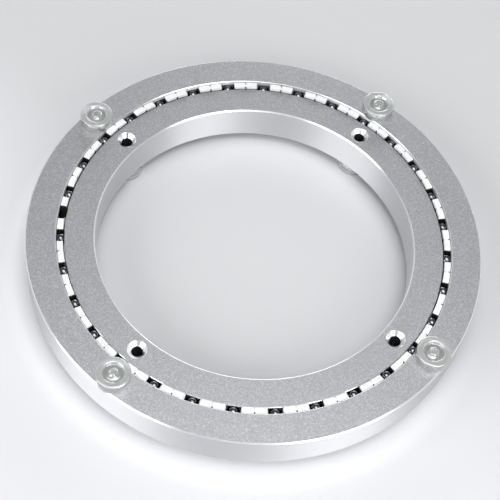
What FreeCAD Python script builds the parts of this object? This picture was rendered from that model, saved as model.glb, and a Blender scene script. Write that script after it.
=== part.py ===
import FreeCAD, Part
import math
import os
import Sketcher
from FreeCAD import Vector

# A flat turntable bearing. Two aluminium rings run one inside the other on a single row
# of steel balls. Each ball sits in its own white plastic link, and the links butt round
# the gap between the rings. The inner ring is the fixed base; the outer ring turns and
# sits a little higher. Z is the axis of the bearing, and the base pads stand on Z = 0.

doc = FreeCAD.newDocument("LazySusanBearing")
sheet = doc.addObject("Spreadsheet::Sheet", "Sizes")
parts = {}

# Sizes in mm, turns and angles in degrees
SIZES = {
    # Rings
    "outer_diameter": 140,  # outer wall of the outer ring
    "outer_ring_width": 9.3,  # radial width of the outer ring
    "ring_gap": 2.4,  # radial gap between the rings
    "inner_ring_width": 9.2,  # radial width of the inner ring
    "outer_ring_height": 12,  # height of the outer ring
    "inner_ring_height": 12,  # height of the inner ring
    "ring_lift": 1.2,  # how far the outer ring sits above the inner ring
    "rim_chamfer": 0.4,  # bright chamfer on the two rims in view
    "edge_break": 0.2,  # small chamfer on every other ring edge
    # Screw holes
    "screw_count": 4,  # screw holes in each ring, and pads on each side
    "screw_angle": 45,  # turn of the first inner ring hole from X
    "turned": 1.45,  # turn of the outer ring where it was left
    "screw_hole": 3.4,  # screw hole through each ring
    "screw_sink": 5.9,  # rim of the countersink
    "sink_angle": 90,  # angle of the countersink
    # Ball race
    "ball_count": 31,  # balls, and cage links
    "ball_diameter": 4,  # ball across
    "race_play": 0.1,  # running clearance between ball and race
    "race_depth": 2.1,  # ball centres below the inner ring's top
    "slack_angle": 4.2,  # free angle left over in the full circle of links
    "first_angle": 178.1,  # turn of the first link, beside the free angle
    # Cage links
    "link_height": 6.4,  # height of a link
    "link_rise": 0.8,  # link tops above the inner ring's top
    "link_width": 1.85,  # radial width of a link
    "link_play": 0.2,  # clearance between a link and the outer ring
    "link_joint": 0.4,  # gap between links that butt
    "pocket_play": 0.15,  # clearance between ball and pocket
    "pocket_round": 0.6,  # rounding at the mouth of the pocket
    # Clear pads
    "pad_diameter": 10.2,  # pad across
    "pad_height": 3.5,  # pad height
    "pad_rim": 1.8,  # flat rim round the dish of the pad
    "pad_round": 0.4,  # rounding at the outside of the rim
    "dish_slope": 0.4,  # radial run of the sloping wall of the dish
    "dish_depth": 0.7,  # depth of the dish
    "pip_diameter": 1.4,  # moulding pip in the middle of the dish
    "pip_height": 0.25,  # height of the pip
}
for row, (alias, number) in enumerate(SIZES.items(), start=1):
    sheet.set("A%d" % row, alias.replace("_", " "))
    sheet.set("B%d" % row, str(number))
    sheet.setAlias("B%d" % row, alias)
doc.recompute()

# Lines that follow from the sizes
OUTER = "Sizes.outer_diameter / 2"
OUTER_BORE = "(Sizes.outer_diameter / 2 - Sizes.outer_ring_width)"
INNER = "(" + OUTER_BORE + " - Sizes.ring_gap)"
INNER_BORE = "(" + INNER + " - Sizes.inner_ring_width)"
RACE = "(" + OUTER_BORE + " - Sizes.ring_gap / 2)"
OUTER_CIRCLE = "(Sizes.outer_diameter / 2 - Sizes.outer_ring_width / 2)"
INNER_CIRCLE = "(" + INNER + " - Sizes.inner_ring_width / 2)"
INNER_LOW = "Sizes.pad_height"
INNER_TOP = "(Sizes.pad_height + Sizes.inner_ring_height)"
OUTER_LOW = "(Sizes.pad_height + Sizes.ring_lift)"
OUTER_TOP = "(Sizes.pad_height + Sizes.ring_lift + Sizes.outer_ring_height)"
RACE_LEVEL = "(Sizes.pad_height + Sizes.inner_ring_height - Sizes.race_depth)"
LINK_TOP = "(Sizes.pad_height + Sizes.inner_ring_height + Sizes.link_rise)"
PITCH = "((360 - Sizes.slack_angle) / Sizes.ball_count)"
POCKET = "(Sizes.ball_diameter / 2 + Sizes.pocket_play)"


# Two lengths or levels this close are the same
SAME = 0.0001


def value(expression):
    """The present number of an expression on the sheet's sizes."""
    answer = sheet.evalExpression(expression)
    return float(getattr(answer, "Value", answer))


def plane(body, role):
    """The origin plane of a body with this role."""
    for feature in body.Origin.OriginFeatures:
        if feature.Role == role:
            return feature


def new_sketch(body, name, role):
    """A sketch on one of its own body's origin planes."""
    sketch = body.newObject("Sketcher::SketchObject", name)
    sketch.AttachmentSupport = (plane(body, role), [""])
    sketch.MapMode = "FlatFace"
    return sketch


def hold(sketch, kind, line, point, axis, expression):
    """Hold a point at a distance from the sketch's origin, or on the sketch's axis."""
    if expression == "0":
        sketch.addConstraint(Sketcher.Constraint("PointOnObject", line, point, axis))
    else:
        rule = Sketcher.Constraint(kind, -1, 1, line, point, value(expression))
        sketch.setExpression("Constraints[%d]" % sketch.addConstraint(rule), expression)


def hold_radius(sketch, line, expression):
    """Hold the radius of a circle or an arc."""
    rule = Sketcher.Constraint("Radius", line, value(expression))
    sketch.setExpression("Constraints[%d]" % sketch.addConstraint(rule), expression)


def outline(sketch, corners):
    """A closed outline of straight lines whose corners follow the sheet."""
    points = [Vector(value(across), value(up), 0) for across, up in corners]
    for line, start in enumerate(points):
        following = (line + 1) % len(points)
        sketch.addGeometry(Part.LineSegment(start, points[following]), False)
    for line in range(len(points)):
        following = (line + 1) % len(points)
        sketch.addConstraint(Sketcher.Constraint("Coincident", line, 2, following, 1))
    for line, (across, up) in enumerate(corners):
        hold(sketch, "DistanceX", line, 1, -2, across)
        hold(sketch, "DistanceY", line, 1, -1, up)


def circle(sketch, across, up, radius):
    """A circle whose centre and radius follow the sheet."""
    centre = Vector(value(across), value(up), 0)
    line = sketch.addGeometry(Part.Circle(centre, Vector(0, 0, 1), value(radius)), False)
    hold(sketch, "DistanceX", line, 3, -2, across)
    hold(sketch, "DistanceY", line, 3, -1, up)
    hold_radius(sketch, line, radius)


def turned_solid(body, name, sketch):
    """Revolve a section about the bearing's or the pad's own axis."""
    solid = body.newObject("PartDesign::Revolution", name)
    solid.Profile = sketch
    solid.ReferenceAxis = (sketch, ["V_Axis"])
    solid.Angle = 360
    return solid


def round_edges(shape, radius, height):
    """Names of the full circles with this radius at this height."""
    found = []
    for number, edge in enumerate(shape.Edges, 1):
        curve = edge.Curve
        if isinstance(curve, Part.Circle) and len(edge.Vertexes) == 1:
            if abs(curve.Radius - radius) < SAME and abs(curve.Center.z - height) < SAME:
                found.append("Edge%d" % number)
    return found


def chamfer(body, name, base, edges, expression):
    """Chamfer named edges of the feature before."""
    bevel = body.newObject("PartDesign::Chamfer", name)
    bevel.Base = (base, edges)
    bevel.setExpression("Size", expression)
    doc.recompute()
    return bevel


def fillet(body, name, base, edges, expression):
    """Round named edges of the feature before."""
    rounding = body.newObject("PartDesign::Fillet", name)
    rounding.Base = (base, edges)
    rounding.setExpression("Radius", expression)
    doc.recompute()
    return rounding


def place(piece, radius, angle, height, flipped=False):
    """Stand a piece on a circle about the bearing's axis, upside down if flipped."""
    axis, turn = ("1; 0; 0", "180") if flipped else ("0; 0; 1", angle)
    piece.setExpression(
        "Placement",
        "create(<<placement>>; create(<<vector>>; %s * cos(%s); %s * sin(%s); %s);"
        " create(<<rotation>>; create(<<vector>>; %s); %s))"
        % (radius, angle, radius, angle, height, axis, turn),
    )


def copy_of(body, name):
    """Another piece of the same shape."""
    twin = doc.addObject("App::Link", name)
    twin.LinkedObject = body
    parts[name] = twin
    return twin


def ring(name, bore, wall, low, top, bright, sink_up):
    """One bearing ring: turned section, ball race, broken edges and countersunk holes."""
    body = doc.addObject("PartDesign::Body", name)
    section = new_sketch(body, name + "_section", "XZ_Plane")
    outline(section, [(bore, low), (wall, low), (wall, top), (bore, top)])
    blank = turned_solid(body, name + "_blank", section)
    race = new_sketch(body, name + "_race_section", "XZ_Plane")
    circle(race, RACE, RACE_LEVEL, "Sizes.ball_diameter / 2 + Sizes.race_play")
    doc.recompute()
    shown = round_edges(blank.Shape, value(bright), value(top))
    rim = chamfer(body, name + "_rim", blank, shown, "Sizes.rim_chamfer")
    rest = []
    for radius in (bore, wall):
        for level in (low, top):
            rest += round_edges(rim.Shape, value(radius), value(level))
    chamfer(body, name + "_edges", rim, rest, "Sizes.edge_break")
    groove = body.newObject("PartDesign::Groove", name + "_race")
    groove.Profile = race
    groove.ReferenceAxis = (race, ["V_Axis"])
    groove.Angle = 360
    doc.recompute()
    holes = new_sketch(body, name + "_hole_centre", "XY_Plane")
    circle(holes, "(%s + %s) / 2" % (bore, wall), "0", "Sizes.screw_hole / 2")
    holes.setExpression("AttachmentOffset.Base.z", top if sink_up else low)
    doc.recompute()
    hole = body.newObject("PartDesign::Hole", name + "_hole")
    hole.Profile = holes
    hole.Threaded = False
    hole.DepthType = "ThroughAll"
    hole.Reversed = not sink_up
    hole.HoleCutType = "Countersink"
    hole.HoleCutCustomValues = True
    hole.setExpression("Diameter", "Sizes.screw_hole")
    hole.setExpression("HoleCutDiameter", "Sizes.screw_sink")
    hole.setExpression("HoleCutCountersinkAngle", "Sizes.sink_angle")
    doc.recompute()
    pattern = body.newObject("PartDesign::PolarPattern", name + "_holes")
    pattern.Originals = [hole]
    pattern.Axis = (holes, ["N_Axis"])
    pattern.Angle = 360
    pattern.setExpression("Occurrences", "Sizes.screw_count")
    body.Tip = pattern
    doc.recompute()
    parts[name] = body
    return body


def cage_link():
    """One link: an arc of the cage with an open cradle for its ball."""
    body = doc.addObject("PartDesign::Body", "cage_link")
    section = new_sketch(body, "link_section", "XZ_Plane")
    far = "(" + OUTER_BORE + " - Sizes.link_play)"
    near = "(" + far + " - Sizes.link_width)"
    high = "Sizes.link_height"
    outline(section, [(near, "0"), (far, "0"), (far, high), (near, high)])
    arc = turned_solid(body, "link_arc", section)
    arc.Midplane = True
    arc.setExpression("Angle", PITCH + " - Sizes.link_joint / " + RACE + " * 180 / pi")
    pocket = new_sketch(body, "pocket_outline", "YZ_Plane")
    middle = "(Sizes.link_height - Sizes.link_rise - Sizes.race_depth)"
    high = "Sizes.link_height + Sizes.ball_diameter"
    reach = value(POCKET)
    bowl = Part.Circle(Vector(0, value(middle), 0), Vector(0, 0, 1), reach)
    corners = [Vector(reach, value(middle), 0), Vector(reach, value(high), 0)]
    corners += [Vector(-reach, value(high), 0), Vector(-reach, value(middle), 0)]
    pocket.addGeometry(Part.ArcOfCircle(bowl, -math.pi, 0), False)
    for start, end in zip(corners, corners[1:]):
        pocket.addGeometry(Part.LineSegment(start, end), False)
    pocket.addConstraint(Sketcher.Constraint("Tangent", 0, 2, 1, 1))
    pocket.addConstraint(Sketcher.Constraint("Coincident", 1, 2, 2, 1))
    pocket.addConstraint(Sketcher.Constraint("Coincident", 2, 2, 3, 1))
    pocket.addConstraint(Sketcher.Constraint("Tangent", 3, 2, 0, 1))
    pocket.addConstraint(Sketcher.Constraint("Vertical", 1))
    pocket.addConstraint(Sketcher.Constraint("Horizontal", 2))
    hold(pocket, "DistanceX", 0, 3, -2, "0")
    hold(pocket, "DistanceY", 0, 3, -1, middle)
    hold_radius(pocket, 0, POCKET)
    hold(pocket, "DistanceY", 1, 2, -1, high)
    doc.recompute()
    cradle = body.newObject("PartDesign::Pocket", "link_cradle")
    cradle.Profile = pocket
    cradle.Type = "ThroughAll"
    cradle.Reversed = True
    doc.recompute()
    mouth = []
    for number, edge in enumerate(cradle.Shape.Edges, 1):
        ends = [point.Point for point in edge.Vertexes]
        if all(abs(point.z - value("Sizes.link_height")) < SAME for point in ends):
            if all(abs(abs(point.y) - reach) < SAME for point in ends):
                mouth.append("Edge%d" % number)
    fillet(body, "link_mouth", cradle, mouth, "Sizes.pocket_round")
    return body


def clear_pad():
    """One clear pad: a disc with a raised rim, a shallow dish and a pip in the middle."""
    body = doc.addObject("PartDesign::Body", "clear_pad")
    section = new_sketch(body, "pad_section", "XZ_Plane")
    rim = "(Sizes.pad_diameter / 2 - Sizes.pad_rim)"
    floor = "(Sizes.pad_height - Sizes.dish_depth)"
    corners = [
        ("0", "0"),
        ("Sizes.pad_diameter / 2", "0"),
        ("Sizes.pad_diameter / 2", "Sizes.pad_height"),
        (rim, "Sizes.pad_height"),
        (rim + " - Sizes.dish_slope", floor),
        ("Sizes.pip_diameter / 2", floor),
        ("Sizes.pip_diameter / 2", floor + " + Sizes.pip_height"),
        ("0", floor + " + Sizes.pip_height"),
    ]
    outline(section, corners)
    disc = turned_solid(body, "pad_disc", section)
    doc.recompute()
    edge = round_edges(disc.Shape, value("Sizes.pad_diameter / 2"), value("Sizes.pad_height"))
    fillet(body, "pad_rounding", disc, edge, "Sizes.pad_round")
    return body


def rings():
    """The fixed inner ring and the turning outer ring."""
    inner = ring("inner_ring", INNER_BORE, INNER, INNER_LOW, INNER_TOP, INNER_BORE, True)
    place(inner, "0", "Sizes.screw_angle", "0")
    outer = ring("outer_ring", OUTER_BORE, OUTER, OUTER_LOW, OUTER_TOP, OUTER, False)
    place(outer, "0", "Sizes.screw_angle + Sizes.turned", "0")


def pads():
    """Clear pads: under the inner ring's holes, and on top over the outer ring's holes."""
    body = clear_pad()
    count = int(value("Sizes.screw_count"))
    for number in range(count):
        step = "Sizes.screw_angle + %d * 360 / Sizes.screw_count" % number
        low = copy_of(body, "base_pad_%d" % (number + 1))
        place(low, INNER_CIRCLE, "(" + step + ")", "Sizes.pad_height", True)
    for number in range(count):
        step = "Sizes.screw_angle + Sizes.turned + %d * 360 / Sizes.screw_count" % number
        high = copy_of(body, "top_pad_%d" % (number + 1))
        place(high, OUTER_CIRCLE, "(" + step + ")", OUTER_TOP)


def race_row():
    """The row of balls and links that fills the gap between the rings."""
    body = cage_link()
    balls = []
    for number in range(int(value("Sizes.ball_count"))):
        angle = "(Sizes.first_angle + %d * %s)" % (number, PITCH)
        link = copy_of(body, "cage_link_%02d" % (number + 1))
        place(link, "0", angle, "(" + LINK_TOP + " - Sizes.link_height)")
        ball = doc.addObject("Part::Sphere", "ball_%02d" % (number + 1))
        ball.setExpression("Radius", "Sizes.ball_diameter / 2")
        place(ball, RACE, angle, RACE_LEVEL)
        balls.append(ball)
    row = doc.addObject("Part::Compound", "balls")
    row.Links = balls
    parts["balls"] = row


def write_parts():
    """Check every object and sub-part, then write one file for each sub-part."""
    doc.recompute()
    for item in doc.Objects:
        if "Invalid" in item.State or "Error" in item.State:
            raise RuntimeError(item.Name + " is " + str(item.State))
    shapes = {}
    for name, item in parts.items():
        item.Label = name
        shape = Part.getShape(item)
        if shape.isNull() or not shape.isValid() or not shape.Solids:
            raise RuntimeError(name + " is not a sound solid")
        shapes[name] = shape
    os.makedirs("parts", exist_ok=True)
    for name, shape in shapes.items():
        shape.exportStep("parts/%s.step" % name)
        print(name, len(shape.Solids), round(shape.Volume, 2), shape.BoundBox)


rings()
pads()
race_row()
write_parts()
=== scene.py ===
import math
import bmesh
import bpy
from mathutils import Matrix, Vector


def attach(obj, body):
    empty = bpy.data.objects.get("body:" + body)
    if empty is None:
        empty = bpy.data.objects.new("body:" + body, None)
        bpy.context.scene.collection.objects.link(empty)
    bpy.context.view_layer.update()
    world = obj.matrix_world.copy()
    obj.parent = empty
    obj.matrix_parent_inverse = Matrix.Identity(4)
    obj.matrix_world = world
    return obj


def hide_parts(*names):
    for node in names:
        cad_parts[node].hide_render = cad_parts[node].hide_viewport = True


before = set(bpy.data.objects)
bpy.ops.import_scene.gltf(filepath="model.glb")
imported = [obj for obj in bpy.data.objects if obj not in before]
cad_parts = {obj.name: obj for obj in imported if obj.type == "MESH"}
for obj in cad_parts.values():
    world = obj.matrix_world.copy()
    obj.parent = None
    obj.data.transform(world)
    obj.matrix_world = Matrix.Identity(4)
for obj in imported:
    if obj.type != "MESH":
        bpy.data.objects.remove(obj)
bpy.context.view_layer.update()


# The two rings are turned from aluminium. Their flat faces are sandblasted and silver
# anodised, with a fine sparkling grain. The walls are left satin, and the chamfers and
# countersinks are cut last and stay bright. The rings are the frame's own nodes.
BLASTED = (0.42, 0.423, 0.437, 1)
BLASTED_SPARK = (0.65, 0.654, 0.672, 1)
TURNED = (0.67, 0.673, 0.69, 1)
CUT = (0.97, 0.97, 0.97, 1)
# Painted shade: the races and the straight walls of the screw holes are painted near black.
GAP_PAINTED_SHADE = (0.035, 0.035, 0.038, 1)
# Painted shade: the inner ring's countersinks are painted partway back from the cut's
# brightness towards the walls' tone.
COUNTERSINK_PAINTED_SHADE = 0.6
# How far upward a surface faces, from 0 on a wall to 1 on a flat face, where a chamfer or
# countersink begins, and where a flat face begins.
CUT_BEGINS = (0.25, 0.5)
FACE_BEGINS = (0.93, 0.98)
# Distances from the axis at which a band starts, is full, wanes and ends.
INNER_RACE_BAND = (0.0575, 0.0582, 0.0596, 0.06)
OUTER_RACE_BAND = (0.0596, 0.06, 0.0607, 0.0615)
INNER_HOLE_BAND = (0.0515, 0.0518, 0.0556, 0.0559)
OUTER_HOLE_BAND = (0.0631, 0.0634, 0.0673, 0.0676)
# Levels between which the painted shade in each race ends.
INNER_RACE_SHADE_ENDS = (0.01495, 0.0152)
OUTER_RACE_SHADE_ENDS = (0.0143, 0.0148)
LATHE_SCALE = (30.0, 30.0, 5000.0)
GRAIN_SCALE = 2600.0
GRAIN_CONTRAST = (0.42, 0.72)
RING_ROUGHNESS = 0.5
LATHE_ROUGHER = 0.06
CUT_SMOOTHER = 0.22
GRAIN_ROUGHER = 0.12
BROKEN_EDGE = 0.00012


class Wire:
    """One output in a node tree. Sums of wires add the nodes that work them out."""

    def __init__(self, owner, socket=None):
        self.owner = owner
        self.socket = socket

    def node(self, kind, settings=None, inputs=None, output=0):
        """Add a node: its type, its settings, then the values or links of its sockets."""
        tree = self.owner.node_tree
        added = tree.nodes.new(kind)
        for name, setting in (settings or {}).items():
            setattr(added, name, setting)
        for name, value in (inputs or {}).items():
            if isinstance(value, Wire):
                tree.links.new(value.socket, added.inputs[name])
            else:
                added.inputs[name].default_value = value
        return Wire(self.owner, added.outputs[output])

    def maths(self, operation, *values):
        settings = {"operation": operation}
        return self.node("ShaderNodeMath", settings, dict(enumerate((self, *values))))

    def __add__(self, other):
        return self.maths("ADD", other)

    def __sub__(self, other):
        return self.maths("SUBTRACT", other)

    def __rsub__(self, other):
        return self.node("ShaderNodeMath", {"operation": "SUBTRACT"}, {0: other, 1: self})

    def __mul__(self, other):
        return self.maths("MULTIPLY", other)

    __radd__ = __add__
    __rmul__ = __mul__

    def step(self, low, high, below=0.0, above=1.0):
        """One value below low, another above high, and a smooth change between."""
        levels = {"Value": self, "From Min": low, "From Max": high}
        levels.update({"To Min": below, "To Max": above})
        return self.node("ShaderNodeMapRange", {"interpolation_type": "SMOOTHSTEP"}, levels)

    def band(self, starts, full, wanes, ends):
        return self.step(starts, full) * (1 - self.step(wanes, ends))

    def tint(self, first, second):
        """A colour between two. The node's colour sockets are its seventh and eighth."""
        colours = {0: self, 6: first, 7: second}
        return self.node("ShaderNodeMix", {"data_type": "RGBA"}, colours, 2)

    def noise(self, scale, detail=2.0, roughness=0.5):
        values = {"Vector": self, "Scale": scale, "Detail": detail, "Roughness": roughness}
        return self.node("ShaderNodeTexNoise", inputs=values)

    def part(self, axis):
        """The X, Y or Z of a place."""
        return self.node("ShaderNodeSeparateXYZ", inputs={0: self}, output=axis)

    def off_axis(self):
        """The distance of a place from the bearing's axis."""
        level = {0: self, 1: (1.0, 1.0, 0.0)}
        flat = self.node("ShaderNodeVectorMath", {"operation": "MULTIPLY"}, level)
        lengths = {"operation": "LENGTH"}
        return self.node("ShaderNodeVectorMath", lengths, {0: flat}, "Value")

    def ray(self, kind):
        """1 where a ray of this kind arrives."""
        return self.node("ShaderNodeLightPath", output="Is %s Ray" % kind)


def new_finish(name, **values):
    """A material, its shader with the fixed values set, and Object coordinates."""
    material = bpy.data.materials.new(name)
    material.use_nodes = True
    shader = material.node_tree.nodes["Principled BSDF"]
    for socket, value in values.items():
        shader.inputs[socket.replace("_", " ")].default_value = value
    return material, shader, Wire(material).node("ShaderNodeTexCoord", output="Object")


def feed(owner, node, **wires):
    """Link what varies to a node's sockets."""
    for socket, wire in wires.items():
        owner.node_tree.links.new(wire.socket, node.inputs[socket.replace("_", " ")])


def show_both(material, factor, shader, other):
    """Show the shader where the factor is 0 and the other where it is 1."""
    shaders = {0: factor, 1: Wire(material, shader.outputs[0]), 2: other}
    both = factor.node("ShaderNodeMixShader", inputs=shaders)
    feed(material, material.node_tree.nodes["Material Output"], Surface=both)


def paint(node, material):
    """Give a piece one finish."""
    node.data.materials.clear()
    node.data.materials.append(material)


ring_finish, turned, place = new_finish(
    "silver_anodised", Metallic=1.0, Anisotropic=0.9, Anisotropic_Rotation=0.25)
facing = place.node("ShaderNodeTexCoord", output="Normal")
upright = facing.part("Z").maths("ABSOLUTE")
on_face = upright.step(*FACE_BEGINS)
on_cut = upright.step(*CUT_BEGINS)

# The races, deep in the narrow gap between the rings, and the straight walls of the screw
# holes are painted near black: painted shade.
radius = place.off_axis()
height = place.part("Z")
in_inner_race = radius.band(*INNER_RACE_BAND) * (1 - height.step(*INNER_RACE_SHADE_ENDS))
in_outer_race = radius.band(*OUTER_RACE_BAND) * (1 - height.step(*OUTER_RACE_SHADE_ENDS))
in_hole = radius.band(*INNER_HOLE_BAND)
in_either_hole = in_hole + radius.band(*OUTER_HOLE_BAND)
shaded = in_inner_race + in_outer_race + in_either_hole * (1 - on_cut)
# The inner countersinks' cut colour is dulled here with painted shade.
bare = (on_cut * (1 - COUNTERSINK_PAINTED_SHADE * in_hole)).tint(TURNED, CUT)

stretched = place.node("ShaderNodeMapping", inputs={"Vector": place, "Scale": LATHE_SCALE})
lathe_lines = stretched.noise(1.0)
soft_edge = place.node("ShaderNodeBevel", {"samples": 6}, {"Radius": BROKEN_EDGE})
wall_relief = {"Strength": 0.06, "Distance": 0.00005}
wall_relief.update({"Height": lathe_lines, "Normal": soft_edge})
feed(ring_finish, turned, Base_Color=shaded.tint(bare, GAP_PAINTED_SHADE),
     Roughness=(RING_ROUGHNESS + LATHE_ROUGHER * (lathe_lines - 0.5)
                - CUT_SMOOTHER * on_cut),
     Normal=place.node("ShaderNodeBump", inputs=wall_relief))

grain = place.noise(GRAIN_SCALE, 3.0, 0.7)
face_relief = {"Strength": 0.12, "Distance": 0.00008, "Height": grain}
blasted = place.node("ShaderNodeBsdfPrincipled", inputs={
    "Metallic": 1.0,
    "Base Color": grain.step(*GRAIN_CONTRAST).tint(BLASTED, BLASTED_SPARK),
    "Roughness": RING_ROUGHNESS + GRAIN_ROUGHER * (grain - 0.5),
    "Normal": place.node("ShaderNodeBump", inputs=face_relief)})
show_both(ring_finish, on_face, turned, blasted)
for name in ("inner_ring", "outer_ring"):
    paint(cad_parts[name], ring_finish)


# Thirty-one polished steel balls run in the groove between the rings. They are bought in,
# hard and mirror bright, with a film of clear grease that mottles them. Their steel is
# painted
# very dark: painted shade for the pockets they sit down in.
BALL_RADIUS = 0.002
RACE_RADIUS = 0.0595
RACE_LEVEL = 0.0134
BALLS = 31
SLACK_DEGREES = 4.2
FIRST_TURN = math.radians(178.1)
PITCH = math.radians((360 - SLACK_DEGREES) / BALLS)
# Painted shade: both steel tones are far darker than bare steel.
STEEL_DARK = (0.15, 0.153, 0.16, 1)
STEEL_PALE = (0.23, 0.234, 0.243, 1)
FILM_SCALE = 400.0
FILM_CONTRAST = (0.3, 0.7)
BALL_ROUGHNESS = 0.08
FILM_ROUGHER = 0.08


def new_object(name, shape, finish):
    """Turn a finished bmesh into an object of one finish."""
    mesh = bpy.data.meshes.new(name)
    shape.to_mesh(mesh)
    shape.free()
    thing = bpy.data.objects.new(name, mesh)
    bpy.context.scene.collection.objects.link(thing)
    paint(thing, finish)
    return thing


def new_piece(name, shape, finish, body):
    """Turn a finished bmesh into a smooth piece that rides on a body."""
    piece = new_object(name, shape, finish)
    piece.data.shade_smooth()
    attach(piece, body)
    return piece


def in_row(number, radius, level):
    """The place of a ball, or of a joint for a number that ends in a half."""
    turn = Matrix.Rotation(FIRST_TURN + number * PITCH, 4, "Z")
    return turn @ Matrix.Translation((radius, 0, level))


steel, shader, place = new_finish("ball_steel", Metallic=1.0)
film = place.noise(FILM_SCALE, 3.0)
feed(steel, shader, Base_Color=film.step(*FILM_CONTRAST).tint(STEEL_DARK, STEEL_PALE),
     Roughness=BALL_ROUGHNESS + FILM_ROUGHER * film)

shape = bmesh.new()
for number in range(BALLS):
    bmesh.ops.create_uvsphere(shape, u_segments=24, v_segments=16, radius=BALL_RADIUS,
                              matrix=in_row(number, RACE_RADIUS, RACE_LEVEL))
balls = new_piece("race_balls", shape, steel, "cage")
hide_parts("balls")


# Each ball sits in a link of white moulded plastic, and the links butt end to end round
# the gap. The plastic has a dull moulded skin. Below the top it is painted near black as
# painted shade: in the pocket round the ball, on the ends where the links meet and along
# the lower sides down in the gap.
LINK_TOP = 0.0163
# Turns from the middle of a link, in radians, at which its pocket ends and its end begins.
POCKET_ENDS = (0.0365, 0.04)
END_BEGINS = (PITCH / 2 - 0.0044, PITCH / 2 - 0.0036)
# Levels between which the painted shade ends in the pocket, on the ends and along the sides.
POCKET_LEVELS = (LINK_TOP - 0.0008, LINK_TOP - 0.0004)
END_LEVELS = (LINK_TOP - 0.00025, LINK_TOP - 0.00005)
SIDE_LEVELS = (0.0149, 0.0156)
LINK_DULL = (0.85, 0.85, 0.86, 1)
LINK_WHITE = (0.9, 0.9, 0.91, 1)
LINK_PAINTED_SHADE = (0.02, 0.02, 0.021, 1)
CLOUD_SCALE = 60.0
CLOUD_CONTRAST = (0.3, 0.7)
SKIN_SCALE = 900.0
LINK_ROUGHNESS = 0.35
SKIN_ROUGHER = 0.15

link_plastic, shader, place = new_finish("link_plastic")
height = place.part("Z")
turn = place.part("Y").maths("ARCTAN2", place.part("X"))
from_slack = (turn - (FIRST_TURN - PITCH / 2)).maths("FLOORED_MODULO", math.tau)
from_ball = (from_slack.maths("FLOORED_MODULO", PITCH) - PITCH / 2).maths("ABSOLUTE")
in_pocket = (1 - from_ball.step(*POCKET_ENDS)) * (1 - height.step(*POCKET_LEVELS))
on_end = from_ball.step(*END_BEGINS) * (1 - height.step(*END_LEVELS))
# Painted shade: the pocket, the link ends and the lower sides are painted near black.
painted_shade = in_pocket + on_end + (1 - height.step(*SIDE_LEVELS))
white = place.noise(CLOUD_SCALE).step(*CLOUD_CONTRAST).tint(LINK_DULL, LINK_WHITE)
skin = place.noise(SKIN_SCALE, 3.0)
skin_relief = {"Strength": 0.1, "Distance": 0.0001, "Height": skin}
feed(link_plastic, shader, Base_Color=painted_shade.tint(white, LINK_PAINTED_SHADE),
     Roughness=LINK_ROUGHNESS + SKIN_ROUGHER * skin,
     Normal=place.node("ShaderNodeBump", inputs=skin_relief))
for number in range(BALLS):
    paint(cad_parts["cage_link_%02d" % (number + 1)], link_plastic)


# Where two links meet, a moulded nib closes the inner part of the joint, so that little but
# its outer corner is left dark. The slack gap has none.
NIB = (0.0013, 0.00042, 0.0006)
NIB_RADIUS = 0.05935
NIB_DROP = 0.00002

shape = bmesh.new()
for number in range(BALLS - 1):
    joint = in_row(number + 0.5, NIB_RADIUS, LINK_TOP - NIB_DROP - NIB[2] / 2)
    bmesh.ops.create_cube(shape, size=1.0, matrix=joint @ Matrix.Diagonal((*NIB, 1)))
new_piece("link_nibs", shape, link_plastic, "cage")


# Eight clear pads of soft moulded plastic stand face to face on the rings, four under the
# inner ring and four on the outer ring. Each is a thick disc with a rounded rim, a shallow
# dish and a moulding pip. The lower four are upside down.
PADS = 4
PAD_RADIUS = 0.0051
PAD_HEIGHT = 0.0035
PAD_RIM = 0.0018
DISH_SLOPE = 0.0004
DISH_DEPTH = 0.0007
PIP_RADIUS = 0.0007
PIP_HEIGHT = 0.00025
MOUTH_RADIUS = PAD_RADIUS - PAD_RIM
DISH_RADIUS = MOUTH_RADIUS - DISH_SLOPE
DISH_FLOOR = PAD_HEIGHT - DISH_DEPTH
PIP_TOP = DISH_FLOOR + PIP_HEIGHT
# Each edge that is rounded: its distance from the pad's middle, its level and its round.
ROUNDED = ((PAD_RADIUS, PAD_HEIGHT, 0.0004), (MOUTH_RADIUS, PAD_HEIGHT, 0.00025),
           (PAD_RADIUS, 0, 0.0002), (PIP_RADIUS, PIP_TOP, 0.0001),
           (DISH_RADIUS, DISH_FLOOR, 0.0002))
TOUCHING = 1e-6
BASE_CIRCLE = 0.0537
TOP_CIRCLE = 0.06535
TOP_LEVEL = 0.0167
HOLE_TURN = math.radians(45)
LEFT_TURNED = math.radians(1.45)
# Levels between which the dish's darker tone turns to the rim's painted highlight, on the
# upper pads and on the lower ones.
TOP_RIM_BEGINS = (TOP_LEVEL + DISH_FLOOR + 0.0002, TOP_LEVEL + PAD_HEIGHT - 0.0001)
BASE_RIM_ENDS = (0.0001, DISH_DEPTH - 0.0002)
DISH_CLEAR = (0.5, 0.52, 0.508, 1)
RIM_PAINTED_HIGHLIGHT = (0.82, 0.84, 0.83, 1)
SHADOW_CLEAR = (0.93, 0.94, 0.935, 1)
HAZE_SCALE = 300.0
PAD_ROUGHNESS = 0.1
HAZE_ROUGHER = 0.06

clear, shader, place = new_finish(
    "clear_pad", Transmission_Weight=0.55, IOR=1.5, Coat_Weight=1.0, Coat_IOR=2.3,
    Coat_Roughness=0.03)
height = place.part("Z")
# Painted highlight: the rim is painted lighter than the dish.
on_rim = height.step(*TOP_RIM_BEGINS) + (1 - height.step(*BASE_RIM_ENDS))
feed(clear, shader, Base_Color=on_rim.tint(DISH_CLEAR, RIM_PAINTED_HIGHLIGHT),
     Roughness=PAD_ROUGHNESS + HAZE_ROUGHER * place.noise(HAZE_SCALE))
let_through = place.node("ShaderNodeBsdfTransparent", inputs={"Color": SHADOW_CLEAR})
show_both(clear, place.ray("Shadow"), shader, let_through)


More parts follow.
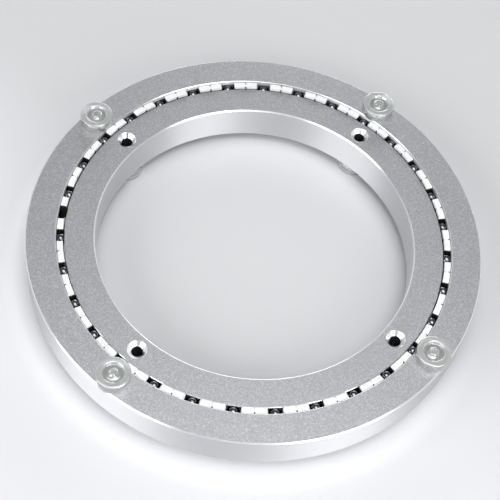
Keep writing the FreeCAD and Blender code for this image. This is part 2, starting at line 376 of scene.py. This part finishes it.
def pad_shape():
    """Spin the pad's half section round its middle, then round its edges."""
    shape = bmesh.new()
    corners = [(0, 0), (PAD_RADIUS, 0), (PAD_RADIUS, PAD_HEIGHT), (MOUTH_RADIUS, PAD_HEIGHT),
               (DISH_RADIUS, DISH_FLOOR), (PIP_RADIUS, DISH_FLOOR), (PIP_RADIUS, PIP_TOP),
               (0, PIP_TOP)]
    points = [shape.verts.new((across, 0, up)) for across, up in corners]
    for first, second in zip(points, points[1:]):
        shape.edges.new((first, second))
    bmesh.ops.spin(shape, geom=shape.verts[:] + shape.edges[:], axis=(0, 0, 1),
                   cent=(0, 0, 0), angle=math.tau, steps=64, use_merge=True)
    bmesh.ops.remove_doubles(shape, verts=shape.verts[:], dist=TOUCHING)
    bmesh.ops.recalc_face_normals(shape, faces=shape.faces[:])
    for radius, level, offset in ROUNDED:
        ring = [edge for edge in shape.edges
                if all(abs(math.hypot(v.co.x, v.co.y) - radius) < TOUCHING
                       and abs(v.co.z - level) < TOUCHING for v in edge.verts)]
        bmesh.ops.bevel(shape, geom=ring, offset=offset, segments=4, profile=0.5,
                        affect="EDGES", material=-1)
    return shape


def seat(shape, radius, turn, level):
    """Move a pad from the axis to its place on a ring."""
    move = (radius * math.cos(turn), radius * math.sin(turn), level)
    bmesh.ops.translate(shape, verts=shape.verts[:], vec=move)


for number in range(PADS):
    turn = HOLE_TURN + number * math.tau / PADS
    shape = pad_shape()
    upside_down = Matrix.Rotation(math.pi, 3, "X")
    bmesh.ops.rotate(shape, verts=shape.verts[:], cent=(0, 0, 0), matrix=upside_down)
    seat(shape, BASE_CIRCLE, turn, PAD_HEIGHT)
    pad = new_piece("clear_base_pad_%d" % (number + 1), shape, clear, "base")
    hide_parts("base_pad_%d" % (number + 1))
    shape = pad_shape()
    seat(shape, TOP_CIRCLE, turn + LEFT_TURNED, TOP_LEVEL)
    pad = new_piece("clear_top_pad_%d" % (number + 1), shape, clear, "turntable")
    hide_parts("top_pad_%d" % (number + 1))


# The table is a wide pale sheet with a smooth surface that takes soft shadows. Its near side
# carries a painted pool of light: the table glows there for rays that see or mirror it,
# brightest round the ring. It isn't part of the bearing.
TABLE_REACH = 3.0
TABLE_DULL = (0.665, 0.668, 0.686, 1)
TABLE_PALE = (0.685, 0.688, 0.706, 1)
CLOUDS_SCALE = 2.0
NO_LIGHT = (0, 0, 0, 1)
POOL_PAINTED_LIGHT = (0.2, 0.201, 0.207, 1)
MIRRORED_SHARE = 0.5
# How far a place lies towards the painted pool's side counts these shares of its X and Y.
TO_POOL_SIDE_X = -0.62
TO_POOL_SIDE_Y = -0.78
NEAR_SIDE_BEGINS = (-0.03, 0.03)
# Distances from the axis between which the painted pool starts, dims and ends.
POOL_STARTS = (0.055, 0.065)
POOL_DIMS = (0.071, 0.08)
POOL_ENDS = (0.115, 0.3)
POOL_BRIGHT = 1.3
POOL_DIM = 0.47

table_pale, shader, place = new_finish(
    "table", Roughness=0.22, Specular_IOR_Level=0.25, Emission_Strength=1.0)
to_pool_side = TO_POOL_SIDE_X * place.part("X") + TO_POOL_SIDE_Y * place.part("Y")
radius = place.off_axis()
dimmed = (POOL_BRIGHT - POOL_DIM) * radius.step(*POOL_DIMS)
pool = radius.step(*POOL_STARTS) * (POOL_BRIGHT - dimmed - POOL_DIM * radius.step(*POOL_ENDS))
met = place.ray("Camera") + MIRRORED_SHARE * place.ray("Glossy") + place.ray("Transmission")
# Painted light: the table glows with the pool's colour on its near side.
painted_pool = met * to_pool_side.step(*NEAR_SIDE_BEGINS) * pool
feed(table_pale, shader, Base_Color=place.noise(CLOUDS_SCALE).tint(TABLE_DULL, TABLE_PALE),
     Emission_Color=painted_pool.tint(NO_LIGHT, POOL_PAINTED_LIGHT))

shape = bmesh.new()
bmesh.ops.create_grid(shape, x_segments=1, y_segments=1, size=TABLE_REACH)
table = new_object("table", shape, table_pale)


# The room is dim where it only lights the bearing, and pale where a ray sees it. What
# mirrors the room finds it bright near the skyline and darker above.
ROOM_PALE = (0.84, 0.85, 0.87, 1)
ROOM_LIGHT = 0.03
SKYLINE_ENDS = (0.3, 0.6)
SKYLINE_LIGHT = 1.05
ABOVE_LIGHT = 0.2

world = bpy.data.worlds.new("pale_room")
world.use_nodes = True
background = world.node_tree.nodes["Background"]
background.inputs["Color"].default_value = ROOM_PALE
direction = Wire(world).node("ShaderNodeTexCoord", output="Generated")
skyline = direction.part("Z").step(*SKYLINE_ENDS, SKYLINE_LIGHT, ABOVE_LIGHT)
seen = direction.ray("Camera").maths("MAXIMUM", direction.ray("Transmission"))
met = seen.maths("MAXIMUM", direction.ray("Glossy") * skyline)
feed(world, background, Strength=met.maths("MAXIMUM", ROOM_LIGHT))
bpy.context.scene.world = world


# One soft panel hangs overhead, one stands behind and three stand in front, at the left,
# at the right and high at the right. They give the walls their long upright highlights.
PANEL_HEIGHT = 0.6
PANEL_DISTANCE = 1.0


def panel(name, width, power, turn, rise):
    """A soft lamp that faces the bearing, at this turn and rise in degrees."""
    lamp = bpy.data.lights.new(name, "AREA")
    lamp.shape = "RECTANGLE"
    lamp.size, lamp.size_y = width, PANEL_HEIGHT
    lamp.energy = power
    turn, rise = math.radians(turn), math.radians(rise)
    level = math.cos(rise)
    place = Vector((level * math.cos(turn), level * math.sin(turn), math.sin(rise)))
    holder = bpy.data.objects.new(name, lamp)
    holder.location = PANEL_DISTANCE * place
    holder.rotation_euler = place.to_track_quat("Z", "Y").to_euler()
    bpy.context.scene.collection.objects.link(holder)


panel("overhead", 0.6, 2.45, 0, 90)
panel("far_window", 0.6, 3.6, 76.8, 14)
panel("near_left_window", 0.75, 5.9, 208.0, 32)
panel("near_right_window", 0.6, 4.2, 301.8, 32)
panel("near_right_ceiling", 0.6, 3.75, 301.8, 72)


# The camera stands where the photograph was taken: high in front, close, and rolled a
# little.
camera = bpy.data.cameras.new("camera")
camera.lens = 87.984
camera.clip_start = 0.01
viewer = bpy.data.objects.new("camera", camera)
viewer.location = (-0.047966, -0.204505, 0.326659)
viewer.rotation_euler = [math.radians(turn) for turn in (32.9664, -4.9674, -5.3108)]
bpy.context.scene.collection.objects.link(viewer)
bpy.context.scene.camera = viewer
bpy.context.scene.view_settings.view_transform = "Standard"
